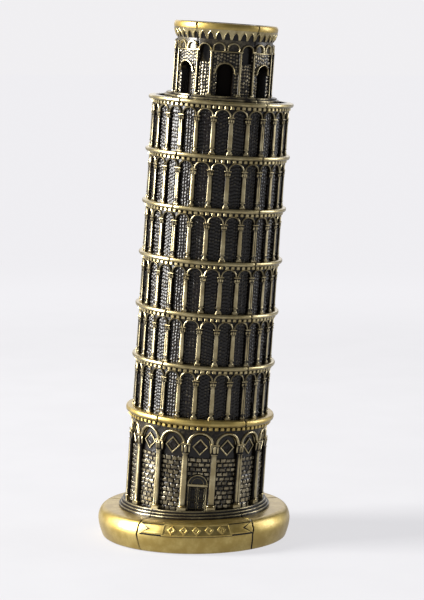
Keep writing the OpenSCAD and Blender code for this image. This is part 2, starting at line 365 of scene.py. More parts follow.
def arched_band(pitch, height, radius, low, high, steps=14, point=0.0):
    """One bay of a flat band with an arch cut up into it. point is 0 for a round arch."""
    half = pitch / 2
    corner = math.atan2(height, half)
    t = np.unique(np.concatenate([np.linspace(0, math.pi, steps + 1), [corner, math.pi - corner]]))[::-1]
    reach = np.minimum(half / np.maximum(np.abs(np.cos(t)), 1e-9), height / np.maximum(np.sin(t), 1e-9))
    swing = pointed_swing(radius, point, t)
    inner = np.column_stack([swing * np.cos(t), swing * np.sin(t)])
    outer = np.column_stack([reach * np.cos(t), reach * np.sin(t)])
    n = len(t)
    points = np.vstack([
        np.column_stack([flat, np.full(n, depth)])
        for flat, depth in ((inner, high), (outer, high), (outer, low), (inner, low))
    ])
    faces = []
    for i in range(n - 1):
        for here, there in ((0, 1), (2, 3), (3, 0)):
            faces.append((here * n + i, here * n + i + 1, there * n + i + 1, there * n + i))
        if outer[i, 1] > height - 1e-6 and outer[i + 1, 1] > height - 1e-6:
            faces.append((n + i, n + i + 1, 2 * n + i + 1, 2 * n + i))
    for i in (0, n - 1):
        faces.append((i, n + i, 2 * n + i, 3 * n + i))
    return points, faces


def faced(shape, depth, most=1.0):
    """A local shape with its wear: most on its outermost face, none at depth millimetres behind that."""
    d = np.asarray(shape[0], float)[:, 2]
    return shape, most * smooth(d.max() - depth, d.max() - 0.3 * depth, d)


def moulding(path, width, low, high, sides=5, most=1.0):
    """A half-round moulding along a path, worn over its whole front."""
    return faced(swept(path, roll(width, low, high, sides)), (high - low) * 0.9, most)


# ---- stone walls


def masonry(a, h, radius, course, length, joint, seed, wander=0.12, edge=0.18):
    """Relief from 0 in the joints to 1 on a stone, and a random number for each stone."""
    spots = upright(np.column_stack([a, h, np.full(len(a), radius)]))
    drift = noise(spots, 2.2, seed + 11) * wander
    row = h / course + drift
    k = np.floor(row)
    y = row - k
    count = round(TAU * radius / length)
    along = a / TAU * count + 0.5 * (k % 2) + 0.3 * hashed(k.reshape(-1, 1), seed)
    along += noise(spots, 2.6, seed + 12) * wander * 1.6
    i = np.floor(along)
    x = along - i
    stone = hashed(np.column_stack([i % count, k]), seed + 1)
    across = smooth(joint / 2, joint / 2 + edge, np.minimum(x, 1 - x) * length)
    upward = smooth(joint / 2, joint / 2 + edge, np.minimum(y, 1 - y) * course)
    return across * upward, stone


def drum(low, high, radius, inner, relief, step):
    """A hollow drum from low to high whose outer face is raised by relief(angle, height)."""
    around = round(TAU * radius / step)
    rows = max(2, round((high - low) / step))
    angles = np.linspace(-math.pi, math.pi, around, endpoint=False)
    heights = np.linspace(low, high, rows + 1)
    a, h = (grid.ravel() for grid in np.meshgrid(angles, heights))
    raised, worn = relief(a, h)
    outer = np.column_stack([a, h, radius + raised]).reshape(rows + 1, around, 3)
    ends = [np.column_stack([angles, np.full(around, z), np.full(around, inner)]) for z in (low, high)]
    shape = loft(np.concatenate([[ends[0]], outer, [ends[1]]]), loop=True)
    rub = np.concatenate([np.zeros(around), worn, np.zeros(around)])
    return shape, rub


BRICK_TOP = 35.8
DOOR_HALF = 3.9
DOOR_SPRINGING = 25.4


def ground_relief(a, h):
    """Coursed blocks under the lozenges; smooth above them and round the door."""
    cover, stone = masonry(a, h, WALL_R, 1.78, 2.35, 0.22, 20, 0.08)
    spots = upright(np.column_stack([a, h, np.full(len(a), WALL_R)]))
    side = np.minimum(np.abs(a) * WALL_R, DOOR_HALF)
    by_door = (side < DOOR_HALF) & (h < DOOR_SPRINGING + np.sqrt(DOOR_HALF**2 - side**2))
    cover = np.where((h > BRICK_TOP) | by_door, 0, cover)
    raised = cover * (0.3 + 0.14 * stone) + 0.04 * layered_noise(spots, 0.9, 31)
    worn = cover * (0.5 + 0.36 * stone + 0.15 * noise(spots, 1.1, 35))
    return raised, np.clip(worn, 0, 1)


def rubble(a, h, radius, seed):
    """Small rounded stones in uneven upright rows, some standing further out than others."""
    spots = upright(np.column_stack([a, h, np.full(len(a), radius)]))
    rows = 2 * round(TAU * radius / 2.3)
    along = a / TAU * rows + 0.2 * noise(spots, 2.4, seed)
    k = np.floor(along)
    upward = h / 1.3 + hashed((k % rows).reshape(-1, 1), seed) + 0.3 * noise(spots, 2.0, seed + 1)
    j = np.floor(upward)
    stone = hashed(np.column_stack([k % rows, j]), seed + 2)
    reach = ((along - k - 0.5) / 0.46) ** 2 + ((upward - j - 0.5) / 0.46) ** 2
    cover = smooth(0.0, 0.55, 1 - reach)
    raised = cover * (0.14 + 0.1 * stone) + 0.04 * layered_noise(spots, 0.8, seed + 4)
    return raised, 0.41 * smooth(0.25, 1.0, cover * (0.6 + 0.55 * stone))


def gallery_relief(seed):
    return lambda a, h: rubble(a, h, WALL_R, seed)


def build_walls(material):
    inner, step = WALL_R - WALL_T, 0.3
    foot, head = PLINTH_TOP - 0.5, slab_top(0) - GROUND_SLAB_T
    ground = Casting(*drum(foot, head, WALL_R, inner, ground_relief, step))
    ground.build("ground_wall", material, replaces=["tower_shaft"])
    for n in range(1, GALLERIES + 1):
        foot, head = slab_top(n - 1), slab_top(n) - GALLERY_SLAB_T
        wall = Casting(*drum(foot, head, WALL_R, inner, gallery_relief(40 + 10 * n), step))
        wall.build(f"gallery_{n}_wall", material)


# ---- columns


def shaft(foot, head, radius, out, swell=1.06, fullness=1.0):
    """A turned shaft with a ring at each end."""
    rise = head - foot
    profile = [
        (radius * 1.35, foot), (radius * 1.4, foot + 0.15), (radius * 1.1, foot + 0.32),
        (radius * swell, foot + 0.5), (radius * swell, foot + rise * 0.12),
        (radius * swell, foot + rise * 0.35), (radius, foot + rise * 0.7),
        (radius * 0.97, foot + rise * 0.88), (radius * 0.94, head - 0.3),
        (radius * 1.2, head - 0.2), (radius * 1.2, head),
    ]
    shape, worn = faced(turned(profile, out, fullness=fullness), radius * fullness)
    # The wear fades towards both ends of the shaft: painted shade where the base and the capital shade it.
    along = (shape[0][:, 1] - foot) / rise
    return shape, worn * (0.6 + 0.4 * smooth(0.0, 0.15, along)) * (0.6 + 0.4 * smooth(1.0, 0.85, along))


def leaf(s, low, high, half, out):
    """A plump upright leaf that curls out at its tip."""
    rings = []
    turn = full_turn(8)
    stages = ((0, 0.75, -0.3), (0.25, 1.0, 0.0), (0.6, 1.0, 0.15), (0.85, 1.0, 0.45), (1, 0.6, 0.3))
    for t, width, lift in stages:
        height = low + (high - low) * t
        rings.append(np.column_stack([
            s + half * width * np.sin(turn),
            np.full(8, height),
            out + half * lift + half * 0.8 * width * np.cos(turn),
        ]))
    return faced(loft(rings), half * 1.2)


def ground_column(foot):
    """Base block and torus, plain shaft, capital of three leaves and a thin slab."""
    out, head, capital = 0.75, 37.3, 40.55
    torus = [(1.6, 1.8), (1.72, 2.1), (1.6, 2.4), (1.35, 2.55), (1.35, 3.4)]
    bell = [(1.0, head - 0.1), (1.0, capital - 1.2), (1.45, capital)]
    shapes = [
        faced(block((-1.65, 1.65), (foot, foot + 1.9), (-0.3, 2.0), 0.25), 0.8),
        faced(turned([(r, foot + h) for r, h in torus], out - 0.25), 1.2),
        shaft(foot + 2.5, head, 1.22, out + 0.2, fullness=0.8),
        faced(turned(bell, out - 0.2), 0.4, 0.1),
        faced(block((-1.75, 1.75), (capital, capital + 0.62), (-0.3, 2.05), 0.16), 0.7),
    ]
    for s, half, lift in ((-1.25, 0.4, 0.25), (0, 0.52, 0.72), (1.25, 0.4, 0.25)):
        shapes.append(leaf(s, head + 0.1, capital - 0.1, half, out + lift))
    return shapes


def gallery_column(springing):
    """Small dark base, slim shaft, neck, three curled leaves and the slab that the arches stand on."""
    out, head = 0.62, springing - 2.1
    base = [(1.0, 0.7), (1.05, 0.95), (0.95, 1.2), (0.75, 1.35), (0.75, 2.0), (0.95, 2.2), (0.8, 2.45)]
    bell = [(0.6, head - 0.1), (0.7, head + 0.9), (0.95, head + 1.5), (0.95, springing)]
    slab = block((-1.2, 1.2), (springing - 0.42, springing + 0.02), (-0.3, 1.45), 0.1)
    shapes = [
        faced(block((-1.05, 1.05), (0, 0.8), (-0.3, 1.5), 0.2), 0.5, 0.5),
        faced(turned(base, out - 0.1), 0.8, 0.6),
        shaft(2.2, head, 0.82, out + 0.2, fullness=0.6),
        faced(turned(bell, out - 0.3), 0.4, 0.3),
        faced(slab, 0.6),
    ]
    for side in (-1, 1):
        shapes.append(leaf(side * 0.72, head + 0.1, head + 1.25, 0.36, out + 0.3))
    shapes.append(leaf(0, head + 0.1, head + 1.4, 0.3, out + 0.5))
    return shapes


def lozenge(centre_h, half_w, half_h, low, high, bar):
    """A raised four-sided frame."""
    corners = [(-half_w, centre_h), (0, centre_h + half_h), (half_w, centre_h), (0, centre_h - half_h)]
    half = bar / 2
    right = [(half * 0.5, high), (half, high - 0.1), (half, low - 0.3)]
    profile = [(-across, out) for across, out in right[::-1]] + right
    return swept(corners, profile, closed=True)


GROUND_BAYS = 15
GROUND_SPRINGING = 40.8
ARCADE_TOP = GROUND_SLAB_TOP - GROUND_SLAB_T - GROUND_DENTIL_H


def foot_height(angle, radius):
    """Height along the tower axis at which the collar's level top meets that angle and radius."""
    probe = TILT @ (Vector(upright([[angle, 0, radius]])[0]) * MM)
    return (COLLAR_TOP - probe.z / MM) / math.cos(LEAN)


def build_ground_arcade(material):
    arcade = Casting()
    bay = TAU / GROUND_BAYS
    pitch = bay * WALL_R
    arch = moulding(arc(4.45, (0, GROUND_SPRINGING), steps=20), 1.1, 0.75, 1.5, 6)
    inner_order = moulding(arc(3.6, (0, GROUND_SPRINGING)), 0.45, 0.05, 0.6, 4, 0.5)
    frame_shape = faced(lozenge(39.8, 2.7, 2.95, 0.0, 0.6, 0.45), 0.35)
    panel = faced(lozenge(39.8, 1.5, 1.65, 0.0, 0.25, 0.9), 0.3, 0.15)
    band_shape = arched_band(pitch, ARCADE_TOP - GROUND_SPRINGING, 4.0, -0.3, 0.95)
    for i in range(GROUND_BAYS):
        at_arch, at_column = i * bay, (i + 0.5) * bay
        arcade.place(ground_column(foot_height(at_column, WALL_R + 1.5) - 0.6), at_column, WALL_R)
        arcade.add(bend(band_shape, at_arch, WALL_R, GROUND_SPRINGING), 0.22)
        arcade.place([arch, inner_order, frame_shape, panel], at_arch, WALL_R)
    arcade.build("ground_arcade_cast", material, replaces=["ground_arcade"])


GALLERY_BAYS = 25
GALLERY_ARCH = 2.4


def build_gallery_arcade(n, material):
    arcade = Casting()
    bay = TAU / GALLERY_BAYS
    pitch = bay * WALL_R
    foot, clear = slab_top(n - 1), storey_clear(n)
    springing = clear - 2.75
    path = np.vstack([[(-2.78, 0)], arc(2.78, (0, 0.05), steps=14), [(2.78, 0)]])
    arch = moulding(path, 0.72, 0.55, 1.2, 4, 0.52)
    band = arched_band(pitch, clear - springing, GALLERY_ARCH, -0.3, 0.6, 10)
    for i in range(GALLERY_BAYS):
        at_arch, at_column = i * bay, (i + 0.5) * bay
        arcade.place(gallery_column(springing), at_column, WALL_R, foot)
        arcade.add(bend(band, at_arch, WALL_R, foot + springing), (WALL_R + 0.2, WALL_R + 2))
        arcade.place([arch], at_arch, WALL_R, foot + springing)
    arcade.build(f"gallery_{n}_arcade_cast", material, replaces=[f"gallery_{n}_arcade"])


# ---- cornices


def nose_profile(inner, nose, thickness, steps=13):
    """Slab with a full rounded edge, drawn anticlockwise from its inner lower corner."""
    half = thickness / 2
    t = np.linspace(-math.pi / 2, math.pi / 2, steps)
    fullness = 0.75
    round_out = np.sign(np.cos(t)) * np.abs(np.cos(t)) ** fullness
    edge = np.column_stack([nose - half + half * round_out, half + half * np.sin(t)])
    flat = [(nose - half - k, thickness) for k in (0.7, 1.4, 2.1)]
    return np.vstack([[(inner, 0), (nose - half - 0.7, 0)], edge, flat, [(inner, thickness)]])


def cast_ring_shift(nose, seed):
    """Small unevenness of a cast ring, and the mismatch of its five shells at the mould seams."""
    groove, roughness = 0.4, 0.05

    def shift(a, profile):
        spots = upright(np.column_stack([np.full(len(profile), a), profile[:, 1], profile[:, 0]]))
        outer = smooth(nose - 2.5, nose - 0.5, profile[:, 0])
        uneven = roughness * noise(spots, 2.4, seed) - 0.04 * seam_side(a)
        return profile[:, 0] + outer * (uneven - groove * seam_nearness(a, SEAM_WIDTH, nose) - roughness)

    return shift


def cornice(node, top, thickness, nose, tooth_foot, seed, material):
    """A rounded ring over a row of teeth. tooth_foot is the height of their feet from its underside."""
    ring = Casting()
    inner = WALL_R - 0.8
    angles = round_steps(240, 0.4, nose)
    points, faces = ring_solid(nose_profile(inner, nose, thickness), angles, cast_ring_shift(nose, seed))
    points[:, 1] += top - thickness
    on_top = (points[:, 1] > top - 0.01) & (points[:, 2] > WALL_R + 0.5)
    worn = np.maximum(smooth(nose - 3.2, nose - 1.6, points[:, 2]), 0.6 * on_top)
    # Less wear on the lower part of the rounded edge: painted shade on the side of the ring that faces down.
    worn = worn * (0.35 + 0.65 * smooth(top - 0.75 * thickness, top - 0.3 * thickness, points[:, 1]))
    ring.add((points, faces), worn * (1 - 0.85 * seam_nearness(points[:, 0], SEAM_WIDTH, nose)))
    back = [(WALL_R + 0.95, 0.05), (WALL_R + 1.0, tooth_foot), (inner, tooth_foot), (inner, 0.05)]
    band = ring_solid(back, full_turn(180))
    band[0][:, 1] += top - thickness
    ring.add(band, 0.0)
    tooth = TAU / DENTILS * WALL_R
    out = nose - 1.1 - WALL_R
    for i in range(DENTILS):
        size, drop, push = (hashed(np.array([[i, seed, k]]), 3)[0] - 0.5 for k in range(3))
        half = tooth * (0.3 + 0.05 * size)
        foot, front = tooth_foot + 0.15 - 0.08 * drop, out + 0.1 * push - 0.05
        shape = block((-half, half), (foot, 0.05), (0.6, front), 0.2)
        worn = faced(shape, 0.7)[1] * smooth(0.05, -0.3, shape[0][:, 1])
        ring.place([(shape, worn)], (i + 0.5) * TAU / DENTILS, WALL_R, top - thickness)
    ring.build(f"{node}_cast", material, replaces=[node])


def build_cornices(ground_material, material):
    over = 0.5
    cornice("ground_cornice", slab_top(0), GROUND_SLAB_T + over, GROUND_NOSE_R, over - GROUND_DENTIL_H,
            100, ground_material)
    over = 0.15
    for n in range(1, GALLERIES + 1):
        cornice(f"gallery_{n}_cornice", slab_top(n), GALLERY_SLAB_T + over, GALLERY_NOSE_R,
                over - GALLERY_DENTIL_H, 100 + n, material)


# ---- plinth, ribbon and collar


def shoulder(t, lift):
    """Height and radius at t radians up the plinth's rounded shoulder, lifted off its surface."""
    across, upward = PLINTH_BELLY_R - PLINTH_TOP_R, PLINTH_TOP - PLINTH_BELLY
    out, up = np.cos(t) / across, np.sin(t) / upward
    length = np.hypot(out, up)
    height = PLINTH_BELLY + upward * np.sin(t) + lift * up / length
    radius = PLINTH_TOP_R + across * np.cos(t) + lift * out / length
    return height, radius


def plinth_profile():
    z = np.linspace(PLINTH_UNDERSIDE + 0.25, PLINTH_BELLY, 14)
    drop = (PLINTH_BELLY - z) / (PLINTH_BELLY - PLINTH_UNDERSIDE)
    side = np.column_stack([PLINTH_BELLY_R - (PLINTH_BELLY_R - PLINTH_FOOT_R) * drop**1.6, z])
    height, radius = shoulder(np.linspace(0, math.pi / 2, 18)[1:], 0.0)
    pocket_r, pocket_floor = 24.0, 9.0
    top = [(r, PLINTH_TOP) for r in (34.0, 33.0, 32.0, 31.0, 30.0, 27.0, pocket_r)]
    pocket = [(pocket_r, pocket_floor), (0.0, pocket_floor)]
    recess_r, recess_top = 33.85, 1.05
    underside = [(0.0, recess_top), (recess_r, recess_top), (recess_r, PLINTH_UNDERSIDE),
                 (PLINTH_FOOT_R - 0.3, PLINTH_UNDERSIDE)]
    return np.vstack([underside, side, np.column_stack([radius, height]), top, pocket])


def crack(points, width, depth):
    """Depth of the uneven parting lines down the plinth, at points given in tower measures."""
    a, h, r = points.T
    wander = 0.03 * noise(np.column_stack([h * 0 + 3, h, r]), 2.2, 71)
    broken = 0.8 + 0.2 * noise(upright(points), 2.5, 72)
    return depth * broken * seam_nearness(a + wander, width, PLINTH_BELLY_R)


def build_plinth(material):
    angles = round_steps(300, 1.9, PLINTH_BELLY_R, fine=39)
    points, faces = ring_solid(plinth_profile(), angles)
    spots = upright(points)
    shown = (points[:, 2] > 29) & (points[:, 1] > PLINTH_UNDERSIDE + 0.1)
    wave = 0.05 * layered_noise(spots, 9.0, 61, 2) - 0.05 - crack(points, 0.42, 0.55)
    upward = smooth(PLINTH_TOP - 2.5, PLINTH_TOP, points[:, 1])
    points[:, 2] += shown * wave * (1 - upward)
    points[:, 1] += shown * wave * upward
    worn = np.clip(0.85 + 0.3 * noise(spots, 5.0, 62) - 5 * crack(points, 0.5, 0.4), 0, 1)
    plinth = Casting((points, faces), worn)
    plinth.build("plinth_cast", material, leaning=False, replaces=["plinth"], welded=True)


SHOULDER_MM_PER_RADIAN = 4.2
RIBBON_SUNK = 0.35


def ribbon_patch(left, right, low, high, rise, relief, steps):
    """A closed sheet on the shoulder between azimuths left(v) and right(v), v being 0 to 1 up it."""
    along, upward = steps
    v = np.linspace(0, 1, upward + 1)
    t = low + v * (high - low)
    tall = (high - low) * SHOULDER_MM_PER_RADIAN
    wide = (right(0.5) - left(0.5)) * PLINTH_BELLY_R
    rings, worn = [], []
    for u in np.linspace(0, 1, along + 1):
        a = left(v) + u * (right(v) - left(v))
        raised, bright = relief((u - 0.5) * wide, (v - 0.5) * tall, wide / 2, tall / 2)
        height, radius = shoulder(t, rise + raised)
        back_height, back_radius = shoulder(t, -RIBBON_SUNK)
        front = np.column_stack([a, height, radius])
        back = np.column_stack([a, back_height, back_radius])[::-1]
        rings.append(np.vstack([front, back]))
        worn.append(np.concatenate([bright, np.full(upward + 1, 0.2)]))
    points, faces = loft(rings, ends=False)
    width = upward + 1
    for first in (0, along * 2 * width):
        for j in range(upward):
            faces.append((first + j, first + j + 1, first + 2 * width - 2 - j, first + 2 * width - 1 - j))
    return (points, faces), np.concatenate(worn)


def panel_relief(x, y, half_w, half_h):
    """A raised border with a row of five small lozenges inside it."""
    edge = np.minimum(half_w - abs(x), half_h - abs(y))
    border = smooth(0.0, 0.15, edge) * (1 - smooth(0.5, 0.7, edge))
    gap = half_w * 0.36
    near = (x + gap / 2) % gap - gap / 2
    inside = abs(x) < 2.5 * gap
    away = abs(near) / 1.9 + abs(y) / 1.7
    frame_line = (1 - smooth(0.72, 1.0, away)) * smooth(0.3, 0.55, away)
    middle = 1 - smooth(0, 0.3, away)
    raised = np.maximum(border, inside * (frame_line + middle))
    return 0.32 * raised - 0.16, 0.4 + 0.6 * raised


def strip_relief(x, y, half_w, half_h):
    """A plain band with a fine line along each edge."""
    edge = np.full_like(y, half_h) - abs(y)
    line = smooth(0.1, 0.3, edge) * (1 - smooth(0.45, 0.7, edge))
    ripple = 0.05 * math.sin(x * 1.1)
    return ripple + 0.08 * line - 0.08, 0.7 + 0.25 * line


def shadow_relief(x, y, half_w, half_h):
    """A dark sheet just round the ribbon's edges: painted shadow under the ribbon, and the patina left in the
    corner between the ribbon and the plinth.
    """
    return np.zeros_like(y), np.zeros_like(y)


def build_ribbon(material):
    ribbon = Casting()
    degrees = math.radians

    def panel_end(v):
        return degrees(21) - degrees(1.6) * v

    def inner(v):
        return panel_end(v) - degrees(0.5)

    def tail(v):
        return degrees(28) + degrees(5.5) * abs(2 * v - 1)

    def add_middle(margin, low, high, rise, relief, steps):
        def end(v):
            return panel_end(v) + margin

        low, high = degrees(low), degrees(high)
        ribbon.add(*ribbon_patch(lambda v: -end(v), end, low, high, rise, relief, steps))

    def add_strips(margin, rise, relief, steps):
        low = degrees(9) - margin / SHOULDER_MM_PER_RADIAN
        high = degrees(55) + margin / SHOULDER_MM_PER_RADIAN
        reach = 2.2 * margin / PLINTH_BELLY_R

        def outer(v):
            return tail(v) + reach

        ribbon.add(*ribbon_patch(inner, outer, low, high, rise, relief, steps))
        ribbon.add(*ribbon_patch(lambda v: -outer(v), lambda v: -inner(v), low, high, rise, relief, steps))

    add_middle(0.0, 2, 62, 0.32, panel_relief, (170, 34))
    add_strips(0.0, 0.34, strip_relief, (60, 20))
    # Dark sheets a little wider than the strips and the panel, just off the plinth: painted shadow round
    # their edges, with patina in the corners.
    add_strips(0.55, 0.08, shadow_relief, (40, 16))
    add_middle(0.007, 0, 65, 0.05, shadow_relief, (60, 16))
    ribbon.build("ribbon_banner_cast", material, leaning=False,
                 replaces=["ribbon_banner"], crease=50)


def build_collar(material):
    inner, sunk = 24.5, 0.2
    profile, worn = [(inner, PLINTH_TOP - sunk)], [0.0]
    for step, radius in enumerate(COLLAR_RADII):
        foot = PLINTH_TOP - (sunk if step == 0 else 0) + step
        head = PLINTH_TOP + step + 1
        profile += [
            (radius, foot), (radius, foot + 0.2), (radius + 0.02, head - 0.4),
            (radius - 0.1, head - 0.12), (radius - 0.3, head), (radius - 0.5, head),
        ]
        worn += [0.0, 0.05, 0.3, 0.8, 0.35, 0.0]
    profile.append((inner, COLLAR_TOP))
    worn.append(0.05)
    angles = round_steps(260, 0.4, COLLAR_RADII[0])
    points, faces = ring_solid(profile, angles)
    spots = upright(points)
    outer = points[:, 2] > 26
    groove = 0.14 * seam_nearness(points[:, 0], 0.3, 29)
    points[:, 2] += outer * (0.05 * noise(spots, 3.0, 81) - 0.05 - groove)
    breakup = 0.5 + 0.5 * layered_noise(spots, 4.0, 82)
    collar = Casting((points, faces), np.tile(worn, len(angles)) * np.clip(0.35 + breakup, 0, 1))
    collar.build("plinth_collar_cast", material, leaning=False, replaces=["plinth_collar"])


# ---- door


def build_door(material):
    door = Casting()
    foot = foot_height(0, WALL_R) - 0.4
    head, springing = DOOR_SPRINGING - 1.0, DOOR_SPRINGING
    parts = [
        (block((-3.35, 3.35), (foot, head), (-0.4, 0.2), 0.05), 0.05),
        (block((-3.85, 3.85), (head, springing), (-0.4, 0.85), 0.15), 0.7),
        (swept(arc(3.5, (0, springing)), roll(0.6, 0.1, 0.8)), 0.6),
        (swept(arc(2.35, (0, springing)), roll(0.45, 0.0, 0.5)), 0.4),
        (block((-0.16, 0.16), (foot, head), (0, 0.4), 0.08), 0.35),
    ]
    for side in (-1, 1):
        post = sorted((side * 3.15, side * 3.7))
        parts.append((block(post, (foot, head), (-0.4, 0.6), 0.15), 0.45))
        middle = side * 1.65
        left, right = middle - 1.05, middle + 1.05
        for low, high in ((foot + 0.9, foot + 3.9), (foot + 4.5, head - 0.5)):
            corners = [(left, low), (left, high), (right, high), (right, low)]
            parts.append((swept(corners, roll(0.32, 0.1, 0.42, 4), closed=True), 0.45))
            field = block((middle - 0.6, middle + 0.6), (low + 0.5, high - 0.5), (0, 0.38), 0.15)
            parts.append((field, 0.15))
    for shape, worn in parts:
        door.add(bend(shape, 0, WALL_R), worn)
    door.build("door_cast", material, replaces=["door"])


# ---- belfry


def carve(piece, cutters, crease=40):
    """Cuts closed shapes, given in tower measures, out of a leaning piece."""
    tool = bpy.data.objects.new("cutter", bpy.data.meshes.new("cutter"))
    points, faces, count = [], [], 0
    for shape_points, shape_faces in cutters:
        points.append(shape_points)
        faces += [tuple(i + count for i in face) for face in shape_faces]
        count += len(shape_points)
    tool.data.from_pydata((upright(np.vstack(points)) * MM).tolist(), [], faces)
    tool.data.transform(TILT)
    work = bmesh.new()
    work.from_mesh(tool.data)
    bmesh.ops.recalc_face_normals(work, faces=work.faces)
    work.to_mesh(tool.data)
    work.free()
    bpy.context.scene.collection.objects.link(tool)
    cut = piece.modifiers.new("cut", "BOOLEAN")
    cut.object = tool
    cut.solver = "EXACT"
    result = bpy.data.meshes.new_from_object(piece.evaluated_get(bpy.context.evaluated_depsgraph_get()))
    piece.modifiers.clear()
    piece.data = result
    result.name = piece.name
    result.shade_smooth()
    result.set_sharp_from_angle(angle=math.radians(crease))
    bpy.data.objects.remove(tool)


def arched_opening(half, foot, springing, inset, back, front, steps=14):
    """A round-headed opening whose sides splay outwards, from depth back to depth front."""

    def ring(width, depth):
        head = arc(width, (0, springing), steps=steps)
        outline = np.vstack([[(-width, foot)], head, [(width, foot)]])
        return np.column_stack([outline, np.full(len(outline), depth)])

    return loft([ring(half - inset, back), ring(half, 0.0), ring(half, front)])


STRING_H = 16.4
DOORWAY_HALF = 3.1
DOORWAY_SPRINGING = 8.8
NICHE_HALF = 1.95
NICHE_FOOT = 12.3
NICHE_SPRINGING = 16.9


def belfry_relief(a, h):
    raised, worn = rubble(a, h, BELFRY_R, 90)
    walled = h < BELFRY_FOOT + STRING_H
    return raised * walled, np.where(walled, 2.3 * worn, 0.4)


def build_belfry_wall(material, shade_patina):
    wall = Casting(*drum(BELFRY_FOOT, BELFRY_TOP + 0.2, BELFRY_R, BELFRY_R - 2.7, belfry_relief, 0.26))
    piece = wall.build("belfry_wall_cast", material, replaces=["belfry_wall"], parting=0.45)
    bay = TAU / BELFRY_BAYS
    doorway = arched_opening(DOORWAY_HALF, -0.5, DOORWAY_SPRINGING, 0.75, -3.5, 1.5)
    niche = arched_opening(NICHE_HALF, NICHE_FOOT, NICHE_SPRINGING, 0.3, -1.4, 1.5)
    cutters = []
    for i in range(BELFRY_BAYS):
        cutters.append(bend(doorway, i * bay, BELFRY_R, BELFRY_FOOT))
        cutters.append(bend(niche, (i + 0.5) * bay, BELFRY_R, BELFRY_FOOT))
    carve(piece, cutters)
    inner, outer, foot, top = 13.0, 15.4, BELFRY_FOOT, PARAPET_FOOT - 1
    profile = [(inner, foot), (outer, foot), (outer, foot + 10), (outer, top), (inner, top)]
    # The core seen through the openings gets a matte copy of the patina with no lacquer: painted shade for
    # the dark inside of the belfry.
    core = Casting(ring_solid(profile, full_turn(120)))
    core.build("belfry_core_cast", shade_patina, replaces=["belfry_core"])


def belfry_column():
    head = NICHE_SPRINGING - 0.5
    return [
        faced(block((-0.8, 0.8), (0, 0.7), (-0.3, 1.0), 0.2), 0.5, 0.7),
        shaft(0.6, head, 0.52, 0.42, swell=1.0),
        faced(block((-0.75, 0.75), (head - 0.05, head + 0.5), (-0.3, 0.95), 0.12), 0.5, 0.8),
    ]


def build_belfry_arcade(material):
    arcade = Casting()
    bay = TAU / BELFRY_BAYS
    half_wide = BELFRY_WIDE / 2 * BELFRY_R
    across = np.linspace(-half_wide, half_wide, 15)
    ear = DOORWAY_SPRINGING - 0.2
    hood = np.vstack([[(-4.1, ear), (-3.6, ear)], arc(3.5, (0, DOORWAY_SPRINGING)), [(3.6, ear), (4.1, ear)]])
    small, low = 2.15, STRING_H + 0.4
    small_arch = np.vstack([[(-small, low)], arc(small, (0, STRING_H + 1.1)), [(small, low)]])
    string = np.column_stack([across, np.full(15, STRING_H + 0.1)])
    front = [moulding(hood, 0.72, 0.15, 0.85), moulding(string, 0.75, 0.1, 0.8)]
    front += [moulding(small_arch + [side * 2.65, 0], 0.9, 0.0, 0.85) for side in (-1, 1)]
    niche_arch = moulding(arc(2.3, (0, NICHE_SPRINGING)), 0.75, 0.0, 0.85)
    for i in range(BELFRY_BAYS):
        arcade.place(front, i * bay, BELFRY_R, BELFRY_FOOT)
        arcade.place([niche_arch], (i + 0.5) * bay, BELFRY_R, BELFRY_FOOT)
        for side in (-1, 1):
            arcade.place(belfry_column(), i * bay + side * BELFRY_WIDE / 2, BELFRY_R, BELFRY_FOOT)
    arcade.build("belfry_arcade_cast", material, replaces=["belfry_arcade"])


def build_platform(material):
    half = PLATFORM_T / 2
    profile = [(13.0, 0), (21.9, 0), (22.1, 0.15), (22.1, half - 0.15), (21.95, half), (21.4, half + 0.03),
               (21.2, half + 0.15), (21.2, PLATFORM_T - 0.15), (21.05, PLATFORM_T), (20.0, PLATFORM_T),
               (18.0, PLATFORM_T), (13.0, PLATFORM_T)]
    worn = [0, 0.4, 0.9, 0.9, 0.9, 0.2, 0.3, 0.8, 0.9, 0.5, 0.2, 0]
    angles = round_steps(220, 0.4, 21)
    points, faces = ring_solid(profile, angles, cast_ring_shift(21.5, 95))
    points[:, 1] += SHAFT_TOP
    breakup = np.clip(0.5 + 0.7 * layered_noise(upright(points), 3.0, 96), 0, 1)
    platform = Casting((points, faces), np.tile(worn, len(angles)) * breakup)
    platform.build("belfry_platform_cast", material, replaces=["belfry_platform"])


def build_corbels(material):
    corbels = Casting()
    bay = TAU / CORBELS
    foot_r, flare = BELFRY_R + 0.4, 1.2 / CORBEL_H
    pitch = bay * foot_r
    springing, arch_r = 0.9, 1.02
    shapes = []
    for i in range(CORBELS):
        band = arched_band(pitch, CORBEL_H - springing, arch_r, -0.6, 0.0, point=1.3)
        shapes.append(bend(band, i * bay, foot_r, springing))
        edge = swept(pointed_arc(1.13, 1.25), roll(0.48, -0.15, 0.2, 4))
        shapes.append(bend(edge, i * bay, foot_r, springing))
        half = pitch / 2 - arch_r
        leg = loft([
            [(-w, h, -0.6), (w, h, -0.6), (w, h, d), (-w, h, d)]
            for w, h, d in ((half * 0.5, 0.0, -0.25), (half * 0.85, 0.3, -0.05), (half, springing, 0.0))
        ])
        shapes.append(bend(leg, (i + 0.5) * bay, foot_r))
    for points, faces in shapes:
        points[:, 2] += flare * points[:, 1]
        points[:, 1] += BELFRY_TOP
        depth = points[:, 2] - foot_r - flare * (points[:, 1] - BELFRY_TOP)
        corbels.add((points, faces), 0.5 * smooth(-0.4, -0.1, depth) + 0.5 * smooth(0.0, 0.1, depth))
    behind = foot_r - 0.4
    back = [(15.6, 0), (behind, 0), (behind + flare * CORBEL_H, CORBEL_H), (17.25, CORBEL_H), (15.6, 2.9)]
    points, faces = ring_solid(back, full_turn(152))
    points[:, 1] += BELFRY_TOP
    corbels.add((points, faces), 0.0)
    corbels.build("corbel_table_cast", material, replaces=["corbel_table"], welded=True,
                  crease=35, parting=0.5)


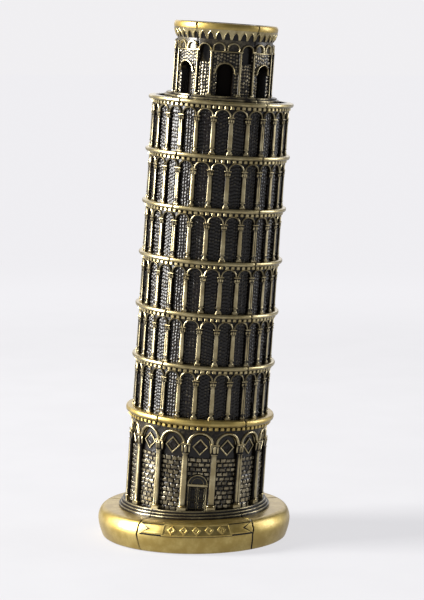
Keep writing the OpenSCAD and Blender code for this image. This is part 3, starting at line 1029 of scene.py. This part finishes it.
def build_parapet(material):
    centre = PARAPET_R - PARAPET_TUBE
    foot = -0.7
    half = PARAPET_TUBE - foot / 2
    t = np.linspace(-math.pi / 2, math.pi / 2, 15)
    edge = np.column_stack([centre + PARAPET_TUBE * np.cos(t) ** 0.55, foot + half * (1 + np.sin(t))])
    inner = [(ROOF_R + 0.3, 2 * PARAPET_TUBE), (ROOF_R + 0.1, 2 * PARAPET_TUBE - 0.25), (ROOF_R + 0.1, 0)]
    profile = np.vstack([edge, inner])
    angles = round_steps(260, 0.9, PARAPET_R, fine=21)
    points, faces = ring_solid(profile, angles)
    spots = upright(points)
    outer = smooth(ROOF_R + 0.4, centre, points[:, 2])
    notch = SEAMS[0]
    away = ((points[:, 0] - notch + math.pi) % TAU - math.pi) * PARAPET_R
    gash = 1 - smooth(0.14, 0.42, np.abs(away - 0.25 * np.sin(3 * points[:, 1])))
    proud = 0.12 * smooth(0.0, 0.5, away) * (1 - smooth(1.5, 9, away))
    uneven = 0.06 * noise(spots, 4.0, 97) - 0.16 + proud
    points[:, 2] += outer * (uneven - 0.9 * gash - 0.1 * seam_nearness(points[:, 0], 0.25, PARAPET_R))
    high = smooth(PARAPET_TUBE, 2 * PARAPET_TUBE, points[:, 1])
    points[:, 1] += high * (0.05 * noise(spots, 5.0, 98) - 0.04 - 0.6 * gash * outer)
    points[:, 1] += PARAPET_FOOT
    worn = np.clip(np.where(points[:, 2] < ROOF_R + 0.35, 0.05, 1.0) - 1.2 * gash, 0, 1)
    parapet = Casting((points, faces), worn)
    parapet.build("parapet_ring_cast", material, replaces=["parapet_ring"])
    roof = [(0, -ROOF_T), (ROOF_R, -ROOF_T), (ROOF_R, -0.1), (ROOF_R - 0.1, 0)]
    roof += [(r, 0) for r in (16, 14.5, 13, 11.5, 10, 8, 6, 4, 2, 0)]
    points, faces = ring_solid(roof, full_turn(120))
    top = (points[:, 1] > -0.05) & (points[:, 2] < ROOF_R - 0.2)
    points[:, 1] += top * (0.08 * layered_noise(upright(points), 3.0, 99) - 0.08) + PARAPET_FOOT
    disc = Casting((points, faces), 0.12)
    disc.build("roof_disc_cast", material, replaces=["roof_disc"], welded=True)


# ---- materials


class Finish:
    """A material as it is wired up. Sizes are in millimetres."""

    def __init__(self, name):
        self.material = bpy.data.materials.new(name)
        self.material.use_nodes = True
        self.tree = self.material.node_tree
        self.shader = self.tree.nodes["Principled BSDF"]
        self.place = self.node("TexCoord").outputs["Object"]

    def node(self, kind, values=None, **settings):
        node = self.tree.nodes.new("ShaderNode" + kind)
        for key, value in settings.items():
            setattr(node, key, value)
        for socket, value in (values or {}).items():
            self.put(node.inputs[socket], value)
        return node

    def put(self, socket, value):
        if isinstance(value, bpy.types.NodeSocket):
            self.tree.links.new(value, socket)
        else:
            socket.default_value = value

    def noise(self, size, detail=3.0, roughness=0.55):
        values = {"Vector": self.place, "Scale": 1 / (size * MM), "Detail": detail, "Roughness": roughness}
        return self.node("TexNoise", values).outputs["Fac"]

    def spots(self, size):
        values = {"Vector": self.place, "Scale": 1 / (size * MM)}
        return self.node("TexVoronoi", values).outputs["Distance"]

    def math(self, operation, a, b):
        return self.node("Math", {0: a, 1: b}, operation=operation).outputs[0]

    def ramp(self, value, low, high, to_low=0.0, to_high=1.0):
        values = {"Value": value, "From Min": low, "From Max": high, "To Min": to_low, "To Max": to_high}
        return self.node("MapRange", values, interpolation_type="SMOOTHSTEP").outputs[0]

    def mix(self, factor, a, b):
        node = self.node("Mix", data_type="RGBA")
        self.put(node.inputs[0], factor)
        for socket, value in ((node.inputs[6], a), (node.inputs[7], b)):
            self.put(socket, value)
        return node.outputs[2]

    def bump(self, height, strength, depth):
        values = {"Height": height, "Strength": strength, "Distance": depth * MM}
        return self.node("Bump", values).outputs[0]


BRASS = (0.56, 0.43, 0.145, 1)
DEEP_BRASS = (0.41, 0.29, 0.075, 1)
PATINA = (0.0055, 0.0034, 0.002, 1)


def antique_brass(name, bright, deep, wear, grime, rough, pitting, lacquer):
    """Plated brass under a dark patina, rubbed off where the attribute rub is high, and lacquered. On some
    pieces that attribute also holds painted shade.
    """
    f = Finish(name)
    rub = f.node("Attribute", attribute_name="rub").outputs["Fac"]
    blotch, speck, fine = f.noise(5.0), f.noise(0.9, 4.0), f.noise(0.22, 2.0)
    uneven = f.math("ADD", rub, f.math("MULTIPLY", f.math("SUBTRACT", blotch, 0.5), grime))
    uneven = f.math("ADD", uneven, f.math("MULTIPLY", f.math("SUBTRACT", speck, 0.5), grime))
    worn = f.ramp(uneven, *wear)
    metal = f.mix(f.ramp(blotch, 0.35, 0.68), deep, bright)
    tarnished = f.mix(f.ramp(speck, 0.3, 0.75, 0.0, 0.5), metal, deep)
    f.put(f.shader.inputs["Base Color"], f.mix(worn, PATINA, tarnished))
    f.put(f.shader.inputs["Metallic"], f.ramp(worn, 0.0, 0.6, 0.0, 1.0))
    smudge = f.math("MULTIPLY", f.math("SUBTRACT", speck, 0.5), 0.12)
    f.put(f.shader.inputs["Roughness"], f.math("ADD", f.ramp(worn, 0.0, 1.0, 0.42, rough), smudge))
    f.shader.inputs["Specular IOR Level"].default_value = 0.06
    f.shader.inputs["Coat Weight"].default_value = lacquer
    f.shader.inputs["Coat Roughness"].default_value = 0.24
    pits = f.ramp(f.spots(1.1), 0.0, 0.16)
    relief = f.math("ADD", f.math("MULTIPLY", fine, 0.35), f.math("MULTIPLY", pits, 0.35))
    relief = f.math("ADD", relief, speck)
    f.put(f.shader.inputs["Normal"], f.bump(relief, 0.35, pitting))
    return f.material


def make_felt():
    f = Finish("felt")
    fibre, tuft = f.noise(0.25, 5.0, 0.7), f.noise(2.5)
    colour = f.mix(f.ramp(fibre, 0.3, 0.7), (0.012, 0.02, 0.014, 1), (0.05, 0.07, 0.05, 1))
    f.put(f.shader.inputs["Base Color"], colour)
    f.put(f.shader.inputs["Roughness"], f.ramp(tuft, 0.3, 0.7, 0.85, 1.0))
    f.put(f.shader.inputs["Normal"], f.bump(f.math("ADD", fibre, tuft), 0.8, 0.15))
    f.shader.inputs["Sheen Weight"].default_value = 0.3
    return f.material


def make_paper():
    """Pale paper round the model, running into an evenly lit studio further out.

    Reflections and bounced light see it dimmer than the camera does, as if the camera's side were dark.
    """
    f = Finish("paper")
    f.shader.inputs["Roughness"].default_value = 0.95
    f.shader.inputs["Specular IOR Level"].default_value = 0.0
    f.shader.inputs["Emission Color"].default_value = (0.98, 0.97, 1.0, 1)
    away = f.node("VectorMath", {0: f.place}, operation="LENGTH").outputs["Value"]
    studio = f.ramp(away, 0.3, 1.0)
    fibre = f.mix(f.ramp(f.noise(40.0), 0.3, 0.7), (0.125, 0.125, 0.127, 1), (0.135, 0.135, 0.137, 1))
    f.put(f.shader.inputs["Base Color"], f.mix(studio, fibre, (0, 0, 0, 1)))
    near_glow, far_glow, unseen_share = 0.685, 0.885, 0.6
    glow = f.ramp(studio, 0.0, 1.0, near_glow, far_glow)
    seen = f.node("LightPath").outputs["Is Camera Ray"]
    share = f.ramp(seen, 0.0, 1.0, unseen_share, 1.0)
    f.put(f.shader.inputs["Emission Strength"], f.math("MULTIPLY", glow, share))
    return f.material


# ---- stage, lights and camera

CAMERA_TURN = math.radians(-2)
CAMERA_DISTANCE = 838.85
CAMERA_HEIGHT_ANGLE = math.radians(7.073)
CAMERA_TARGET = (6.868, 0.0, 92.325)
CAMERA_ROLL = math.radians(0.117)
FOCAL_IN_FRAME_HEIGHTS = 3.6093


def facing(location, target, roll=0.0):
    """Matrix of a camera or light at location that looks at target."""
    forward = (target - location).normalized()
    right = forward.cross(Vector((0, 0, 1))).normalized()
    up = right.cross(forward)
    right, up = right * math.cos(roll) + up * math.sin(roll), up * math.cos(roll) - right * math.sin(roll)
    return Matrix.Translation(location) @ Matrix((right, up, -forward)).transposed().to_4x4()


def place_camera():
    target = Vector(CAMERA_TARGET) * MM
    away = Vector((0, -math.cos(CAMERA_HEIGHT_ANGLE), math.sin(CAMERA_HEIGHT_ANGLE))) * CAMERA_DISTANCE * MM
    turn = Matrix.Rotation(CAMERA_TURN, 3, "Z")
    camera = bpy.data.objects.new("camera", bpy.data.cameras.new("camera"))
    camera.matrix_world = facing(turn @ (target + away), turn @ target, CAMERA_ROLL)
    camera.data.sensor_width = 36
    camera.data.lens = 36 * FOCAL_IN_FRAME_HEIGHTS
    camera.data.clip_end = 50
    bpy.context.scene.collection.objects.link(camera)
    bpy.context.scene.camera = camera


def softbox(name, azimuth, elevation, distance, size, watts, tint=(1, 1, 1)):
    """A rectangular light aimed at the middle of the model. Azimuth 0 is the camera's side."""
    a, e = math.radians(azimuth), math.radians(elevation)
    middle = (cad_low + cad_high) / 2
    away = Vector((math.cos(e) * math.sin(a), -math.cos(e) * math.cos(a), math.sin(e))) * distance
    data = bpy.data.lights.new(name, "AREA")
    data.shape = "RECTANGLE"
    data.size, data.size_y = size
    data.energy = watts
    data.color = tint
    light = bpy.data.objects.new(name, data)
    light.matrix_world = facing(middle + away, middle)
    light.visible_camera = False
    bpy.context.scene.collection.objects.link(light)


def build_stage():
    """A wide round sheet of pale paper for the floor."""
    radius, sides = 9.0, 96
    around = full_turn(sides)
    points = [(radius * math.cos(t), radius * math.sin(t), 0.0) for t in around]
    mesh = bpy.data.meshes.new("paper")
    mesh.from_pydata(points, [], [tuple(range(sides))])
    mesh.materials.append(make_paper())
    paper = bpy.data.objects.new("paper", mesh)
    bpy.context.scene.collection.objects.link(paper)


def light_scene():
    softbox("window", -85, 18, 2.2, (0.85, 2.0), 220, (1.0, 0.99, 0.97))
    softbox("right_fill", 100, 15, 2.2, (0.9, 1.6), 27, (0.95, 0.96, 1.0))
    softbox("back_card", 180, 24, 1.9, (2.4, 1.3), 11, (0.98, 0.97, 1.0))
    world = bpy.data.worlds.new("studio")
    world.use_nodes = True
    nodes, links = world.node_tree.nodes, world.node_tree.links
    seen = nodes.new("ShaderNodeLightPath").outputs["Is Camera Ray"]
    colour = nodes.new("ShaderNodeMix")
    colour.data_type = "RGBA"
    colour.inputs[6].default_value = (0.165, 0.169, 0.179, 1)
    colour.inputs[7].default_value = (0.875, 0.865, 0.885, 1)
    links.new(seen, colour.inputs[0])
    links.new(colour.outputs[2], nodes["Background"].inputs["Color"])
    bpy.context.scene.world = world
    bpy.context.scene.view_settings.view_transform = "Standard"


# ---- the model

bright_brass = antique_brass("bright_brass", BRASS, DEEP_BRASS,
                             wear=(0.1, 0.6), grime=0.2, rough=0.42, pitting=0.035, lacquer=0.5)
ring_brass = antique_brass("ring_brass", (0.6, 0.51, 0.28, 1), (0.39, 0.31, 0.14, 1),
                           wear=(0.1, 0.65), grime=0.3, rough=0.32, pitting=0.04, lacquer=0.5)
aged_brass = antique_brass("aged_brass", (0.55, 0.475, 0.28, 1), (0.34, 0.275, 0.14, 1),
                           wear=(0.15, 0.75), grime=0.4, rough=0.3, pitting=0.06, lacquer=0.4)
patina = antique_brass("patina", (0.42, 0.36, 0.23, 1), (0.22, 0.18, 0.1, 1),
                       wear=(0.27, 0.9), grime=0.4, rough=0.27, pitting=0.04, lacquer=0.68)
# A matte, unlacquered copy of the patina: painted shade, for the core seen through the belfry's openings.
shade_patina = antique_brass("painted_shade_patina", DEEP_BRASS, DEEP_BRASS,
                     wear=(0.5, 1.0), grime=0.2, rough=0.7, pitting=0.07, lacquer=0.0)

build_walls(patina)
build_ground_arcade(aged_brass)
build_door(aged_brass)
for storey in range(1, GALLERIES + 1):
    build_gallery_arcade(storey, aged_brass)
build_cornices(bright_brass, ring_brass)
build_plinth(bright_brass)
build_ribbon(bright_brass)
build_collar(aged_brass)
build_platform(aged_brass)
build_belfry_wall(patina, shade_patina)
build_belfry_arcade(aged_brass)
build_corbels(ring_brass)
build_parapet(bright_brass)
felt = make_felt()
for felt_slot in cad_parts["felt_pad"].material_slots:
    felt_slot.material = felt

build_stage()
light_scene()
place_camera()
